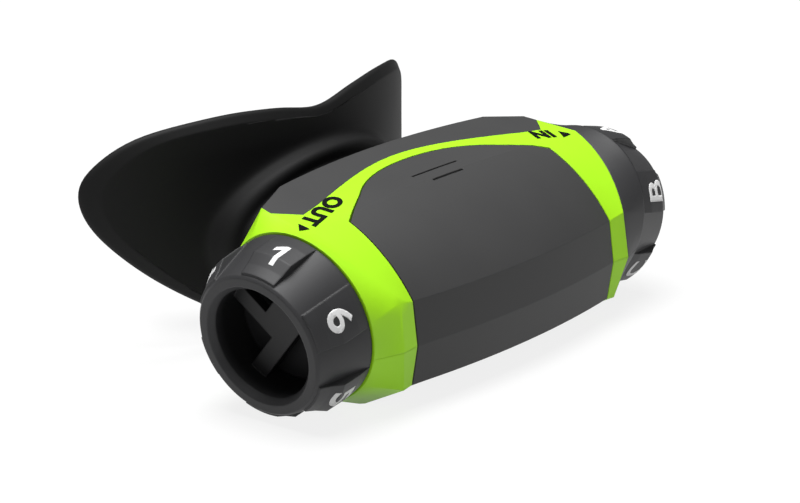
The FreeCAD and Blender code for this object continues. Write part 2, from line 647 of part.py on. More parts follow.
def dial_grip(name, side):
    """The dial: a lobed cone with a bore, on a sleeve that turns in the collar's mouth."""
    body = doc.addObject("PartDesign::Body", name + "_dial_grip")
    inner = "Sizes.tube_radius + Sizes.running"
    sleeve = "Sizes.collar_bore - 2 * Sizes.running"
    base, rim = "Sizes.dial_base_radius", "Sizes.dial_rim_radius"
    gap, top, web = "Sizes.dial_gap", "Sizes.dial_length", "Sizes.web_height"
    reach = "-Sizes.sleeve_reach"
    corners = [(inner, reach), (sleeve, reach), (sleeve, gap), (base, gap), (rim, top + " - 0.5"),
               (rim + " - 0.5", top), ("Sizes.mouth_radius", top),
               ("Sizes.bore_radius", top + " - Sizes.rim_chamfer"), ("Sizes.bore_radius", web),
               (inner, web)]
    revolve(body, "Cone", profile(body, "ConeProfile", "XZ_Plane", corners))
    low = "-Sizes.ring_setback - Sizes.ring_thickness"
    high = "-Sizes.ring_setback"
    bite = "Sizes.collar_bore - Sizes.ring_bite"
    corners = [(bite, low), ("Sizes.collar_bore + 1", low), ("Sizes.collar_bore + 1", high), (bite, high)]
    revolve(body, "RingGroove", profile(body, "GrooveProfile", "XZ_Plane", corners),
            "PartDesign::Groove")
    along = "Sizes.bridge_reach"
    wide, narrow, arm = "Sizes.bridge_wide", "Sizes.bridge_narrow", "Sizes.bridge_arm"
    corners = [("-" + along, "-Sizes.bridge_near"), (along, "-Sizes.bridge_near"), (along, wide),
               (arm, wide), (arm, along), ("-" + arm, along), ("-" + arm, narrow),
               ("-" + along, narrow)]
    bridge_profile = profile(body, "BridgeProfile", "XY_Plane", corners)
    turned = FreeCAD.Rotation(V(0, 0, 1), size("bridge_turn"))
    bridge_profile.AttachmentOffset = FreeCAD.Placement(V(0, 0, size("bridge_height")), turned)
    bridge_profile.setExpression("AttachmentOffset.Base.z", "Sizes.bridge_height")
    bridge = body.newObject("PartDesign::Pad", "Bridge")
    bridge.Profile = bridge_profile
    bridge.setExpression("Length", "Sizes.bridge_thickness")
    bridge.Reversed = True
    doc.recompute()
    root = rim + " - 1"
    knee = base + " - 0.25 * (Sizes.dial_base_radius - Sizes.dial_rim_radius)"
    corners = [(root, gap), (base, gap), (base + " + 0.2", "0.25 * Sizes.dial_length"),
               (knee + " + 0.5 * Sizes.lobe_height", "0.6 * Sizes.dial_length"),
               (rim + " + Sizes.lobe_height", "0.78 * Sizes.dial_length"),
               (rim + " + Sizes.lobe_rim", "Sizes.dial_length - 0.7"),
               (root, "Sizes.dial_length - 0.7")]
    lobe = revolve(body, "Lobe", profile(body, "LobeProfile", "XZ_Plane", corners),
                   angle="Sizes.lobe_angle")
    half = "Sizes.notch_half"
    near, far = "Sizes.tube_radius - 1", "Sizes.collar_bore + 1"
    notch_profile = profile(body, "NotchProfile", "XY_Plane",
                            [(near, "-" + half), (far, "-" + half), (far, half), (near, half)])
    notch_profile.setExpression("AttachmentOffset.Base.z", reach)
    notch = body.newObject("PartDesign::Pocket", "Notch")
    notch.Profile = notch_profile
    notch.setExpression("Length", "Sizes.notch_depth")
    notch.Reversed = True
    doc.recompute()
    pattern = body.newObject("PartDesign::PolarPattern", "Settings")
    pattern.Originals = [lobe, notch]
    pattern.Axis = (notch_profile, ["N_Axis"])
    pattern.Angle = 360
    pattern.Occurrences = int(size("lobe_count"))
    body.Tip = pattern
    placed(body, name + "_dial_grip", side, side * size("lobe_lead"))


def off_axis(item, angle):
    """Moves a round piece's centre out to the circle of the ports."""
    turn = math.radians(angle)
    item.setExpression("Placement.Base.x", "%.4f * Sizes.port_circle" % math.cos(turn))
    item.setExpression("Placement.Base.y", "%.4f * Sizes.port_circle" % math.sin(turn))
    return item


def shutter_disc(name, side):
    """The disc that turns with the dial, with one window over the fixed plate's ports."""
    low = "Sizes.web_height - Sizes.shutter_thickness"
    high = "Sizes.web_height"
    disc = cylinder("Sizes.tube_bore - Sizes.running", low, high)
    window = off_axis(cylinder("Sizes.window_radius", low, high), 0)
    hub = doc.addObject("Part::Cone", "Hub")
    hub.setExpression("Radius1", "Sizes.window_radius - 0.5")
    hub.setExpression("Radius2", "Sizes.window_radius / 2")
    hub.setExpression("Height", "Sizes.shutter_thickness / 2")
    hub.setExpression("Placement.Base.z", high)
    placed(fuse(cut(disc, window), hub), name + "_shutter_disc", side, side * size("lobe_lead"))


def port_plate(name, side):
    """The fixed plate with a port of its own size for each setting."""
    high = "Sizes.web_height - Sizes.shutter_thickness - Sizes.shutter_gap"
    low = high + " - Sizes.port_plate"
    disc = cylinder("Sizes.tube_bore", low, high)
    count = int(size("lobe_count"))
    ports = [off_axis(cylinder("Sizes.port_radius_max - %d * Sizes.port_step" % k, low, high),
                      360 * k / count) for k in range(count)]
    placed(cut(disc, fuse(*ports)), name + "_port_plate", side, side * size("lobe_lead"))


def valve(name, side, way):
    """A spoked seat with a pin, and the silicone flap that lifts along the pin."""
    low, high = "-Sizes.seat_depth", "Sizes.seat_thickness - Sizes.seat_depth"
    seat = cut(cylinder("Sizes.tube_bore", low, high), spokes(low, high, 4))
    lift = "Sizes.valve_travel + Sizes.flap_thickness + Sizes.pin_slack"
    if way > 0:
        tip = high + " + " + lift
        pin = cylinder("Sizes.pin_radius", high, tip)
        head = cylinder("2 * Sizes.pin_radius", tip, tip + " + Sizes.pin_head")
        flap_low = high + " + Sizes.flap_gap"
    else:
        tip = low + " - (" + lift + ")"
        pin = cylinder("Sizes.pin_radius", tip, low)
        head = cylinder("2 * Sizes.pin_radius", tip + " - Sizes.pin_head", tip)
        flap_low = low + " - Sizes.flap_gap - Sizes.flap_thickness"
    placed(fuse(seat, pin, head), name + "_valve_seat", side)
    flap = ring("Sizes.flap_radius", "Sizes.pin_radius + Sizes.running", flap_low,
                flap_low + " + Sizes.flap_thickness")
    placed(flap, name + "_valve_flap", side)


def dial_seal(name, side):
    """A square-cut ring in the bearing tube's groove."""
    seal_ring = ring("Sizes.tube_radius", "Sizes.tube_radius - 2 * Sizes.seal_cord",
                     "Sizes.seal_height - Sizes.seal_cord", "Sizes.seal_height + Sizes.seal_cord")
    placed(seal_ring, name + "_dial_seal", side)


def detent_spring(name, side):
    """A leaf round the bearing tube, on a foot, with a nub that clicks into the notches."""
    outer_edge, inner_edge = "Sizes.collar_bore - 0.3", "Sizes.tube_radius + 0.3"
    high = "-Sizes.sleeve_reach - Sizes.spring_gap"
    low = high + " - Sizes.leaf"
    leaf = ring(outer_edge, inner_edge, low, high, "Sizes.leaf_angle")
    foot = ring(outer_edge, inner_edge, "Sizes.collar_lip - Sizes.crease_back", low, "8")
    nub = doc.addObject("Part::Cone", "Nub")
    nub.setExpression("Radius1", "Sizes.notch_half - 0.1")
    nub.setExpression("Radius2", "Sizes.notch_half / 2")
    nub.setExpression("Height", "Sizes.spring_gap + Sizes.notch_depth / 2")
    middle = "0.5 * (Sizes.collar_bore + Sizes.tube_radius)"
    end = "(Sizes.leaf_angle - 4)"
    nub.setExpression("Placement.Base.x", middle + " * cos(%s * 1 deg)" % end)
    nub.setExpression("Placement.Base.y", middle + " * sin(%s * 1 deg)" % end)
    nub.setExpression("Placement.Base.z", high)
    turn = side * size("lobe_lead") - (size("leaf_angle") - 4) + 90 * (1 - side)
    placed(fuse(leaf, foot, nub), name + "_detent_spring", side, turn)


def retaining_ring(name, side):
    """The split ring that keeps the dial in its collar."""
    clip = ring("Sizes.collar_bore + Sizes.ring_reach", "Sizes.collar_bore - Sizes.ring_bite",
                "-Sizes.ring_setback - Sizes.ring_thickness", "-Sizes.ring_setback",
                "360 - Sizes.ring_split", size("ring_split") / 2)
    placed(clip, name + "_retaining_ring", side)


for name, side in SIDES.items():
    dial_grip(name, side)
    shutter_disc(name, side)
    port_plate(name, side)
    retaining_ring(name, side)
    dial_seal(name, side)
    detent_spring(name, side)
valve("out", SIDES["out"], 1)
valve("in", SIDES["in"], -1)

# The mouthpiece: neck, shield, inner lip guard and bite tabs in one silicone moulding

shield_axis = V(0, size("shield_front") + size("shield_radius"), 0)


def bowl(radius):
    return Part.makeCylinder(radius, 2 * BIG, shield_axis - V(0, 0, BIG), V(0, 0, 1))


half, top, drop = size("shield_half"), size("shield_top"), -size("shield_bottom")
rim = [(0, top - size("shield_dip")), (0.24 * half, 0.983 * top), (0.5 * half, top),
       (0.79 * half, 0.925 * top), (0.94 * half, 0.75 * top), (half, 0.54 * top),
       (0.95 * half, 0.245 * top), (0.77 * half, 0.18 * drop), (0.5 * half, 0.72 * drop),
       (0.25 * half, 0.95 * drop), (0, drop)]
rim = rim + [(-x, z) for x, z in reversed(rim[1:-1])]
edge = Part.BSplineCurve()
edge.interpolate([V(x, 0, z) for x, z in rim], PeriodicFlag=True)
front_outline = Part.Face(Part.Wire(edge.toShape())).extrude(V(0, BIG, 0))
shield = bowl(size("shield_radius")).cut(bowl(size("shield_radius") - size("shield_thickness")))
shield = shield.common(front_outline).common(block(-BIG, BIG, 0, shield_axis.y, -BIG, BIG))
flare_back = size("shield_front") + 4 * size("shield_thickness")
neck = oval(size("neck_width"), size("neck_depth"), size("neck_start"), flare_back,
            size("flare_width"), size("flare_depth"))
neck = neck.cut(bowl(size("shield_radius") - size("shield_thickness") / 2))
lips, thin = size("bite_end"), size("guard_thickness")
tube = oval(size("bite_width") + thin, size("bite_depth") + thin, size("shield_front"), lips)
guard = oval(size("guard_width"), size("guard_depth"), lips - thin, lips)
tabs = []
for side in SIDES.values():
    ends = sorted((side * size("bite_width"), side * (size("bite_width") + size("tab_width"))))
    tabs.append(block(*ends, lips - thin / 2, lips + size("tab_reach"),
                      size("mouth_rise") - size("tab_half"), size("mouth_rise") + size("tab_half")))
mouthpiece = shield.multiFuse([neck, tube, guard] + tabs)
sleeve = oval(size("spigot_width") + size("running") * 2, size("spigot_depth") + size("running") * 2,
              0, size("spigot_reach") + size("seam"))
mouthpiece = mouthpiece.cut(sleeve).cut(oval(size("bite_width"), size("bite_depth"), 0, BIG))
shaped("mouthpiece", mouthpiece)


# Checks and files

doc.recompute()
for item in doc.Objects:
    if "Invalid" in item.State or "Error" in item.State:
        raise RuntimeError("failed: " + item.Label)
os.makedirs("parts", exist_ok=True)
for node in nodes:
    shape = node.Shape
    if shape.isNull() or not shape.isValid():
        raise RuntimeError("bad shape: " + node.Label)
    shape.exportStep("parts/" + node.Label + ".step")
    print(node.Label, len(shape.Solids), round(shape.Volume, 1))
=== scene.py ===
# %% [markdown]
# A breathing trainer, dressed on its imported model.
# The frame holds every rigid piece in its real place, so this lesson adds what the
# solids lack: finishes, the collars' slanting crease, printed marks and the soft
# silicone mouthpiece.

import bpy
import math
from mathutils import Matrix, Vector


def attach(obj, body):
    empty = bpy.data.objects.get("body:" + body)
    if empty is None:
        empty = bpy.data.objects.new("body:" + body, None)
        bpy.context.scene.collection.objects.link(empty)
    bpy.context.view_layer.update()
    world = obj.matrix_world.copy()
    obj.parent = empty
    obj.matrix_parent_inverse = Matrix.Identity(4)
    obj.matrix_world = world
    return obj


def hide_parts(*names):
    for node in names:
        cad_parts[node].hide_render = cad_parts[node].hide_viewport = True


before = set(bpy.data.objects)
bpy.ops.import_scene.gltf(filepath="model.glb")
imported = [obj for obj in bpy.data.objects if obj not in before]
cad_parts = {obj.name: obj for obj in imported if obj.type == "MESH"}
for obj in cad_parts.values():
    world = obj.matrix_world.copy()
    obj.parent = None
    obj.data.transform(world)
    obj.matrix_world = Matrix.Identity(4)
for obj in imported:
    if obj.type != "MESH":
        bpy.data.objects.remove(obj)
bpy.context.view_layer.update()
MM = 0.001
AXIS_HEIGHT = 19.5

# %% [markdown]
# The camera stands to the front left and a little above. A long lens from about
# 0.6 m keeps the barrel's far end nearly as large as the near one, as in a catalogue
# picture. A closer camera with a short lens would frame the part too, but it would
# swell the near dial. The camera's height is told from the barrel's axis.

# %% Camera
CAMERA_AZIMUTH, CAMERA_ELEVATION = -51.833, 17.739
CAMERA_X, CAMERA_Y, CAMERA_ABOVE_AXIS = -0.473879, -0.360524, 0.192280
azimuth, elevation = math.radians(CAMERA_AZIMUTH), math.radians(CAMERA_ELEVATION)
toward_camera = Vector((math.sin(azimuth) * math.cos(elevation),
                        -math.cos(azimuth) * math.cos(elevation), math.sin(elevation)))
bpy.ops.object.camera_add(location=(CAMERA_X, CAMERA_Y, CAMERA_ABOVE_AXIS + AXIS_HEIGHT * MM))
camera = bpy.context.object
camera.rotation_mode = "QUATERNION"
camera.rotation_quaternion = (-toward_camera).to_track_quat("-Z", "Y")
camera.data.lens = 135
camera.data.sensor_width = 36
camera.data.clip_start, camera.data.clip_end = 0.05, 20
bpy.context.scene.camera = camera
print("camera:", [round(v, 3) for v in camera.location], "lens:", camera.data.lens)

# %% [markdown]
# Shaders could be wired by hand in the node editor. Here they are written as sums: Wire
# wraps a socket, so that wear * 0.3 + 0.5 adds its Math nodes, and one function, node,
# makes any other kind. A long shader then stays as short to read as its formula.


# %% A small notation for shader maths
class Wire:
    def __init__(self, tree, socket):
        self.tree, self.socket = tree, socket

    def other(self, output):
        """Another output of the node that this wire comes from."""
        return Wire(self.tree, self.socket.node.outputs[output])

    def math(self, operation, *others, flip=False):
        values = [self, *others]
        return node(self.tree, "ShaderNodeMath", {"operation": operation},
                    dict(enumerate(reversed(values) if flip else values)))

    def __add__(self, other):
        return self.math("ADD", other)

    def __radd__(self, other):
        return self.math("ADD", other)

    def __sub__(self, other):
        return self.math("SUBTRACT", other)

    def __rsub__(self, other):
        return self.math("SUBTRACT", other, flip=True)

    def __mul__(self, other):
        return self.math("MULTIPLY", other)

    def __rmul__(self, other):
        return self.math("MULTIPLY", other)


def node(tree, kind, settings=None, inputs=None, output=0):
    """Adds a node, sets its settings, fills or links its inputs and gives one output."""
    made = tree.nodes.new(kind)
    for name, value in (settings or {}).items():
        setattr(made, name, value)
    for name, value in (inputs or {}).items():
        if isinstance(value, Wire):
            tree.links.new(value.socket, made.inputs[name])
        else:
            made.inputs[name].default_value = value
    return Wire(tree, made.outputs[output])


# %% [markdown]
# Every finish is one Principled shader. The moulded plastics share a recipe: a fine
# spark-eroded grain in the bump, a slow drift of roughness as from a warm mould, and
# edges softened by a Bevel node, because real mouldings have no knife edges. Picture
# textures could do the same, but noise needs no file and no seams.

# %% The recipe for a moulded finish
DRIFT_SCALE, GRAIN_HEIGHT = 70.0, 0.00002


def mix_colour(tree, share, first, second):
    return node(tree, "ShaderNodeMix", {"data_type": "RGBA"}, {0: share, 6: first, 7: second}, 2)


def finish(name, colour, roughness, drift=0.06, grain=0.0, grain_scale=9000, metallic=0.0,
           edge=0.0, tint=0.08, coat=0.0, specular=0.5):
    """A material of one colour, with its drift, its grain and its softened edges."""
    material = bpy.data.materials.new(name)
    material.use_nodes = True
    tree = material.node_tree
    shader = tree.nodes["Principled BSDF"]
    place = node(tree, "ShaderNodeTexCoord", output="Object")
    slow = node(tree, "ShaderNodeTexNoise", inputs={"Vector": place, "Scale": DRIFT_SCALE, "Detail": 3.0})
    fine = node(tree, "ShaderNodeTexNoise",
                inputs={"Vector": place, "Scale": float(grain_scale), "Detail": 2.0})
    darker = tuple(c * (1 - tint) for c in colour) + (1,)
    lighter = tuple(min(1, c * (1 + tint)) for c in colour) + (1,)
    tree.links.new(mix_colour(tree, slow, darker, lighter).socket, shader.inputs["Base Color"])
    tree.links.new((slow * drift + fine * drift + (roughness - drift)).socket,
                   shader.inputs["Roughness"])
    bump = {"Height": fine, "Strength": grain, "Distance": GRAIN_HEIGHT}
    if edge:
        bump["Normal"] = node(tree, "ShaderNodeBevel", {"samples": 6}, {"Radius": edge * MM})
    tree.links.new(node(tree, "ShaderNodeBump", inputs=bump).socket, shader.inputs["Normal"])
    shader.inputs["Metallic"].default_value = metallic
    shader.inputs["Coat Weight"].default_value = coat
    shader.inputs["Specular IOR Level"].default_value = specular
    return material


# %% The finishes
lime = finish("lime_moulding", (0.42, 0.88, 0.014), 0.45, grain=0.12, edge=0.3, tint=0.03,
              specular=0.35)
housing = finish("dark_housing", (0.05, 0.05, 0.0505), 0.55, grain=0.35, edge=0.35, specular=0.35)
dial_finish = finish("dial_plastic", (0.038, 0.038, 0.04), 0.5, grain=0.3, edge=0.5, specular=0.35)
inner = finish("inner_plastic", (0.008, 0.008, 0.009), 0.65, grain=0.2, edge=0.2, specular=0.3)
silicone = finish("black_silicone", (0.0068, 0.0068, 0.007), 0.65, grain=0.1, specular=0.25)
steel = finish("spring_steel", (0.62, 0.62, 0.64), 0.3, metallic=1.0)
plated = finish("magnet_plating", (0.72, 0.72, 0.74), 0.16, metallic=1.0, tint=0.02)
gold = finish("contact_plating", (0.86, 0.66, 0.3), 0.22, metallic=1.0)
board = finish("circuit_board", (0.02, 0.16, 0.06), 0.35, grain=0.1, coat=0.3)
can = finish("pressed_can", (0.55, 0.55, 0.56), 0.36, metallic=1.0)
foil = finish("cell_foil", (0.6, 0.61, 0.63), 0.4, metallic=1.0, grain=0.3, grain_scale=700)
white_ink = finish("white_ink", (0.86, 0.86, 0.86), 0.5, tint=0.02)
black_ink = finish("black_ink", (0.004, 0.005, 0.004), 0.7, tint=0.02, specular=0.1)
print("finishes:", lime.name, housing.name, dial_finish.name, inner.name, silicone.name)

# %% [markdown]
# Each dial is a short tube, and little light reaches its bore, which looks much darker
# than the rim in the photograph. A second material on the bore's faces would leave a
# hard border, so the dial's own shader works out how far a point lies from the drooping
# axis and how deep it lies behind the mouth, and darkens the plastic by both.

# %% Shade in the dials' bores
BARREL_HALF, DROOP = 46.8, math.radians(10.8)
BORE_RADIUS, BORE_MOUTH, BORE_DARK = 12.4, 13.0, 0.22
WALL_BLEND, DEPTH_BLEND = 2.0, 0.3
tree = dial_finish.node_tree
place = node(tree, "ShaderNodeTexCoord", output="Object")
metres = node(tree, "ShaderNodeSeparateXYZ", inputs={0: place})
x, y, z = (metres.other(k) * 1000.0 for k in range(3))
across = x.math("ABSOLUTE") - BARREL_HALF
rise = z - AXIS_HEIGHT
along = across * math.cos(DROOP) - rise * math.sin(DROOP)
spoke = (across * across + y * y + rise * rise - along * along).math("SQRT")
inside = ((BORE_RADIUS - spoke) * WALL_BLEND).math("MAXIMUM", 0.0).math("MINIMUM", 1.0)
depth = ((BORE_MOUTH - along) * DEPTH_BLEND).math("MAXIMUM", 0.0).math("MINIMUM", 1.0)
shader = tree.nodes["Principled BSDF"]
plain = Wire(tree, shader.inputs["Base Color"].links[0].from_socket)
dark = tuple(BORE_DARK * c for c in (0.038, 0.038, 0.041)) + (1,)
tree.links.new(mix_colour(tree, inside * depth, plain, dark).socket, shader.inputs["Base Color"])

# %% [markdown]
# Every piece of the real trainer is one moulding, stamping or part of a circuit, so one
# finish for each node is enough. The nodes keep their meshes here and get a material.

# %% Which finish goes where
dressed = {
    lime: ["frame_upper", "out_collar_lower", "in_collar_lower"],
    housing: ["rear_housing", "front_cover", "mouthpiece_spigot"],
    dial_finish: ["out_dial_grip", "in_dial_grip"],
    inner: ["dock_plate", "module_back_cover", "air_manifold", "out_bearing_plate",
            "in_bearing_plate", "out_port_plate", "in_port_plate", "out_valve_seat",
            "in_valve_seat", "out_shutter_disc", "in_shutter_disc"],
    silicone: ["mouthpiece", "out_valve_flap", "in_valve_flap", "out_dial_seal", "in_dial_seal",
               "sensor_port_seal"],
    steel: ["out_retaining_ring", "in_retaining_ring", "out_detent_spring", "in_detent_spring"],
    plated: ["out_dock_magnet", "in_dock_magnet", "out_module_magnet", "in_module_magnet"],
    gold: ["charge_contacts"],
    board: ["circuit_board"],
    can: ["pressure_sensor", "vibration_motor"],
    foil: ["battery_cell"],
}
for material, names in dressed.items():
    for name in names:
        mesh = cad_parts[name].data
        mesh.materials.clear()
        mesh.materials.append(material)
bare = set(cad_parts) - {name for names in dressed.values() for name in names}
print("nodes without a finish:", sorted(bare))

# %% [markdown]
# Four shells get a form of their own in the next steps, each from a copy of its node. A
# node's mesh is loose triangles, so the copy is welded first: a warp, a cut or smooth
# shading needs faces that share their corners. The node itself is never touched, and
# steps aside for its copy.

# %% Copying a node's mesh
WELD = 0.005


def alone(piece):
    """Selects one piece and makes it active."""
    bpy.ops.object.select_all(action="DESELECT")
    piece.select_set(True)
    bpy.context.view_layer.objects.active = piece


def copy_of(name, piece_name):
    """A CAD node's mesh as a piece of its own, with its triangles joined up."""
    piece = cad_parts[name].copy()
    piece.data = piece.data.copy()
    piece.name = piece_name
    bpy.context.collection.objects.link(piece)
    alone(piece)
    bpy.ops.object.mode_set(mode="EDIT")
    bpy.ops.mesh.select_all(action="SELECT")
    bpy.ops.mesh.remove_doubles(threshold=WELD * MM)
    bpy.ops.object.mode_set(mode="OBJECT")
    return piece


# %% [markdown]
# A crease runs round each collar, where the facet that faces the dial begins. The solids
# have it in one canted plane. On the moulding it runs back from the top of the collar to
# the ridge in front. So copies of the four shells are warped along the dial's axis: the
# crease slides by its own amount at each corner, and the slide fades to nothing at the
# collar's mouth and at its inner edge. The inner skin moves with the outer one. Moving
# only the crease's own vertices would be simpler, but it tears the shell, because the
# skin behind them stays where it was.

# %% Sliding the crease
# A height over the axis in front, with the crease's slide there; outwards is positive
FRONT_SLIDES = ((-19.5, 0.0), (-14.3, -0.5), (-5.3, 0.2), (4.2, -2.2), (18.4, 3.5))
REAR_CORNER, REAR_SLIDE, TOP_FROM, TOP_TO = 12.1, 0.5, 8.0, 16.0
CREASE_BACK, PANEL_HALF, MOUTH_PLANE = 6.8, 34.2, 0.01


def crease_slide(y, z):
    """How far outwards the crease slides, for a point beside the dial's axis."""
    front = FRONT_SLIDES[-1][1]
    for (low, start), (high, end) in zip(FRONT_SLIDES, FRONT_SLIDES[1:]):
        if z <= high:
            front = start + (end - start) * max(0, (z - low) / (high - low))
            break
    if y < 0:
        return front
    height = min(1, max(0, (z - TOP_FROM) / (TOP_TO - TOP_FROM)))
    back = min(1, y / REAR_CORNER)
    return front + (REAR_SLIDE * height - front) * back


def slide_crease(piece):
    """Slides a shell's vertices along the dials' axes, most at the crease."""
    for side in (-1, 1):
        outward = Vector((side * math.cos(DROOP), 0, -math.sin(DROOP)))
        for vertex in piece.data.vertices:
            point = vertex.co / MM - Vector((0, 0, AXIS_HEIGHT))
            along = (point - Vector((side * BARREL_HALF, 0, 0))).dot(outward)
            past_panel = side * point.x - PANEL_HALF
            if past_panel <= 0 or along > MOUTH_PLANE:
                continue
            if along > -CREASE_BACK:
                share = max(0, -along) / CREASE_BACK
            else:
                to_crease = (-CREASE_BACK - along) * math.cos(DROOP)
                share = past_panel / (past_panel + to_crease)
            vertex.co += outward * (crease_slide(point.y, point.z) * share * MM)
    piece.data.update()
    bpy.context.view_layer.update()


# %% [markdown]
# Beyond the crease the breathe-in side is dark. On the real moulding that facet may be
# painted or a cap of its own; here the faces become pieces of their own, two noses, so
# that each keeps one plain finish. A bisect cuts them off along the crease's plane before
# the warp, while that plane is still flat, and the open cut is filled.


# %% Cutting the noses off
def cut_at_crease(piece, keep_outer):
    """Cuts a shell at the breathe-in side's crease, closes the cut and keeps one part."""
    outward = Vector((math.cos(DROOP), 0, -math.sin(DROOP)))
    crease = (Vector((BARREL_HALF, 0, AXIS_HEIGHT)) - outward * CREASE_BACK) * MM
    alone(piece)
    bpy.ops.object.mode_set(mode="EDIT")
    bpy.ops.mesh.select_all(action="SELECT")
    bpy.ops.mesh.bisect(plane_co=crease, plane_no=outward, clear_outer=not keep_outer,
                        clear_inner=keep_outer)
    bpy.ops.mesh.select_all(action="DESELECT")
    bpy.ops.mesh.select_mode(type="EDGE")
    bpy.ops.mesh.select_non_manifold(extend=False, use_wire=False, use_multi_face=False,
                                     use_non_contiguous=False, use_verts=False)
    bpy.ops.mesh.fill()
    bpy.ops.mesh.select_all(action="SELECT")
    bpy.ops.mesh.normals_make_consistent(inside=False)
    bpy.ops.object.mode_set(mode="OBJECT")


CRISP_ANGLE = math.radians(22)


def crisp(piece):
    """Smooth shading that keeps every ridge sharp."""
    alone(piece)
    bpy.ops.mesh.customdata_custom_splitnormals_clear()
    bpy.ops.object.shade_smooth_by_angle(angle=CRISP_ANGLE)


# %% The four shells and the two noses
SHELLS = {"frame_upper": "collar_band", "out_collar_lower": "out_collar_under",
          "in_collar_lower": "in_collar_under", "rear_housing": "rear_shell"}
NOSES = {"frame_upper": "in_nose_upper", "in_collar_lower": "in_nose_under"}
shells = {}
for name, piece_name in SHELLS.items():
    piece = copy_of(name, piece_name)
    if name in NOSES:
        nose = copy_of(name, NOSES[name])
        cut_at_crease(nose, True)
        cut_at_crease(piece, False)
        slide_crease(nose)
        crisp(nose)
        nose.data.materials.clear()
        nose.data.materials.append(dial_finish)
        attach(nose, "airflow_unit")
    slide_crease(piece)
    crisp(piece)
    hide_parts(name)
    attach(piece, "airflow_unit")
    shells[name] = piece
print("shells:", {piece.name: len(piece.data.polygons) for piece in shells.values()})

# %% [markdown]
# The dials carry printed digits and letters, and the collars' tops say which way the
# breath goes. Each mark starts as a text, becomes a mesh, is cut into narrow strips so
# that it can bend, and is wrapped on the surface below with a Shrinkwrap modifier. A
# picture laid on the surface would be quicker, but a mesh keeps its edge at any size.


# %% Printing a mark on a surface
def cut_in_strips(piece, pitch):
    """Bisects a flat mesh both ways, so that it can follow a curved surface."""
    alone(piece)
    for normal in (Vector((1, 0, 0)), Vector((0, 1, 0))):
        reaches = [v.co.dot(normal) for v in piece.data.vertices]
        low, high = min(reaches), max(reaches)
        bpy.ops.object.mode_set(mode="EDIT")
        for k in range(1, int((high - low) / pitch) + 1):
            bpy.ops.mesh.select_all(action="SELECT")
            bpy.ops.mesh.bisect(plane_co=normal * (low + k * pitch), plane_no=normal)
        bpy.ops.object.mode_set(mode="OBJECT")


def wrap(piece, target, place, body, material, height=0.05, thick=0.04):
    """Lays a flat mesh on a target's surface, looking along its own Z, and thickens it."""
    alone(piece)
    piece.matrix_world = place
    shrink = piece.modifiers.new("wrap", "SHRINKWRAP")
    shrink.target = target
    shrink.wrap_method = "PROJECT"
    shrink.use_project_z = True
    shrink.use_negative_direction = True
    shrink.use_positive_direction = True
    shrink.offset = height * MM
    bpy.ops.object.modifier_apply(modifier="wrap")
    bpy.ops.object.transform_apply(location=True, rotation=True, scale=True)
    depth = piece.modifiers.new("depth", "SOLIDIFY")
    depth.thickness = thick * MM
    depth.offset = -1
    bpy.ops.object.modifier_apply(modifier="depth")
    piece.data.materials.clear()
    piece.data.materials.append(material)
    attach(piece, body)
    return piece


def letters(name, text, height, width=None, spacing=1.0, weight=0.02):
    """A flat mesh of the text, centred, with its capitals at the given height in mm."""
    bpy.ops.object.text_add(location=(0, 0, 0))
    piece = bpy.context.object
    piece.name = name
    piece.data.body = text
    piece.data.align_x = "CENTER"
    piece.data.space_character = spacing
    piece.data.offset = weight
    piece.data.resolution_u = 5
    alone(piece)
    bpy.ops.object.convert(target="MESH")
    piece = bpy.context.object
    xs = [v.co.x for v in piece.data.vertices]
    ys = [v.co.y for v in piece.data.vertices]
    tall = height * MM / (max(ys) - min(ys))
    wide = width * MM / (max(xs) - min(xs)) if width else tall
    middle = Vector(((max(xs) + min(xs)) / 2, (max(ys) + min(ys)) / 2, 0))
    piece.data.transform(Matrix.Diagonal((wide, tall, 1, 1)) @ Matrix.Translation(-middle))
    return piece


def flat_shape(name, corners, width=1.0, height=1.0):
    """A flat face with the given corners, anticlockwise, in mm."""
    bpy.ops.object.select_all(action="DESELECT")
    bpy.ops.mesh.primitive_circle_add(vertices=len(corners), radius=MM, fill_type="NGON")
    piece = bpy.context.object
    piece.name = name
    for vertex, (x, y) in zip(piece.data.vertices, corners):
        vertex.co = Vector((x * width, y * height, 0)) * MM
    return piece


def frame_at(origin, right, up):
    """A placement whose X and Y are the given directions and whose Z looks outwards."""
    right, up = Vector(right).normalized(), Vector(up).normalized()
    turned = Matrix((right, up, right.cross(up))).transposed().to_4x4()
    return Matrix.Translation(Vector(origin) * MM) @ turned


# %% [markdown]
# On a dial, a lobe for each setting comes round every 60 degrees. The tops of the
# digits and letters point to the barrel's middle, so the axis direction is the
# text's up, and its right follows the dial's rim.

